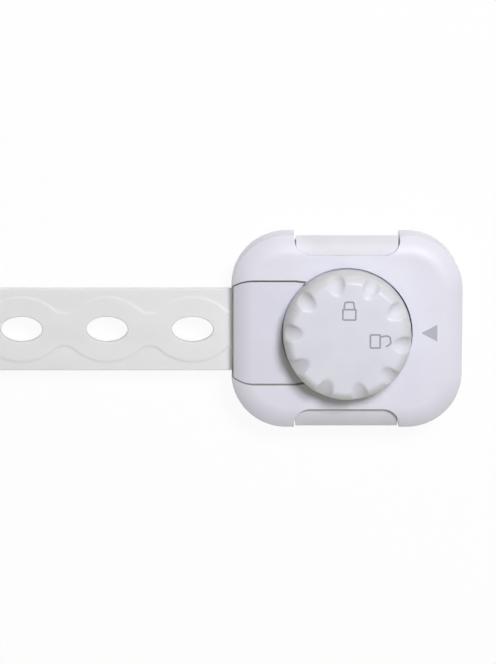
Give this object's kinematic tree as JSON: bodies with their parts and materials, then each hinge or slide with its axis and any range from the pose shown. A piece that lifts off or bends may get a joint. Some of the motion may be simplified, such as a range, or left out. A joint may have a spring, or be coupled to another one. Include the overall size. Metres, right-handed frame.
{
  "type": "cabinet safety lock",
  "caption": "Child lock for cabinets: rounded adhesive housing with fluted lock knob and squeeze buttons, pull-out tongue on a perforated strap, hinged strap anchor.",
  "frame": {"origin": "middle of the housing's adhesive face", "axes": "+X from the strap's far end to the housing, +Y across the strap, +Z away from the adhesive"},
  "size_m": [0.1858, 0.0466, 0.0221],
  "materials": {
    "cover": "white moulded plastic, fine satin surface",
    "base": "white moulded plastic",
    "pad": "adhesive foam",
    "screws": "zinc plated steel",
    "spring": "spring steel",
    "knob": "white moulded plastic, fine satin surface",
    "cam": "grey slippery plastic",
    "washer": "fibre washer",
    "button": "white moulded plastic",
    "fork": "springy natural plastic",
    "strap": "milky flexible plastic"
  },
  "bodies": {
    "housing": {"housing_cover": "cover", "housing_base": "base", "housing_pad": "pad", "cover_screws": "screws", "detent_spring": "spring", "upper_button_springs": "spring", "lower_button_springs": "spring"},
    "knob": {"knob": "knob", "lock_cam": "cam", "friction_washer": "washer", "knob_screw": "screws"},
    "upper_button": {"upper_button": "button"},
    "lower_button": {"lower_button": "button"},
    "tongue": {"tongue_head": "cover", "tongue_carrier": "base", "tongue_screws": "screws", "latch_fork": "fork", "strap": "strap", "anchor_base": "base", "anchor_pad": "pad", "hinge_pin": "spring"},
    "anchor_lid": {"anchor_lid": "cover"}
  },
  "joints": [
    {"name": "knob_turn", "type": "hinge", "parent": "housing", "child": "knob", "pos_m": [0, 0, 0.01205], "axis": [0, 0, -1], "range_deg": [0, 90], "deforming": ["detent_spring"]},
    {"name": "upper_button_press", "type": "slide", "parent": "housing", "child": "upper_button", "axis": [0, -1, 0], "range_m": [0, 0.002], "stiffness_N_per_m": 800, "springref_m": -0.002, "deforming": ["upper_button_springs", "latch_fork"]},
    {"name": "lower_button_press", "type": "slide", "parent": "housing", "child": "lower_button", "axis": [0, 1, 0], "range_m": [0, 0.002], "stiffness_N_per_m": 800, "springref_m": -0.002, "deforming": ["lower_button_springs", "latch_fork"]},
    {"name": "tongue_slide", "type": "slide", "parent": "housing", "child": "tongue", "axis": [-1, 0, 0], "range_m": [0, 0.04], "deforming": ["latch_fork"]},
    {"name": "anchor_lid_open", "type": "hinge", "parent": "tongue", "child": "anchor_lid", "pos_m": [-0.1558, 0, 0.00795], "axis": [0, -1, 0], "range_deg": [0, 110]}
  ]
}
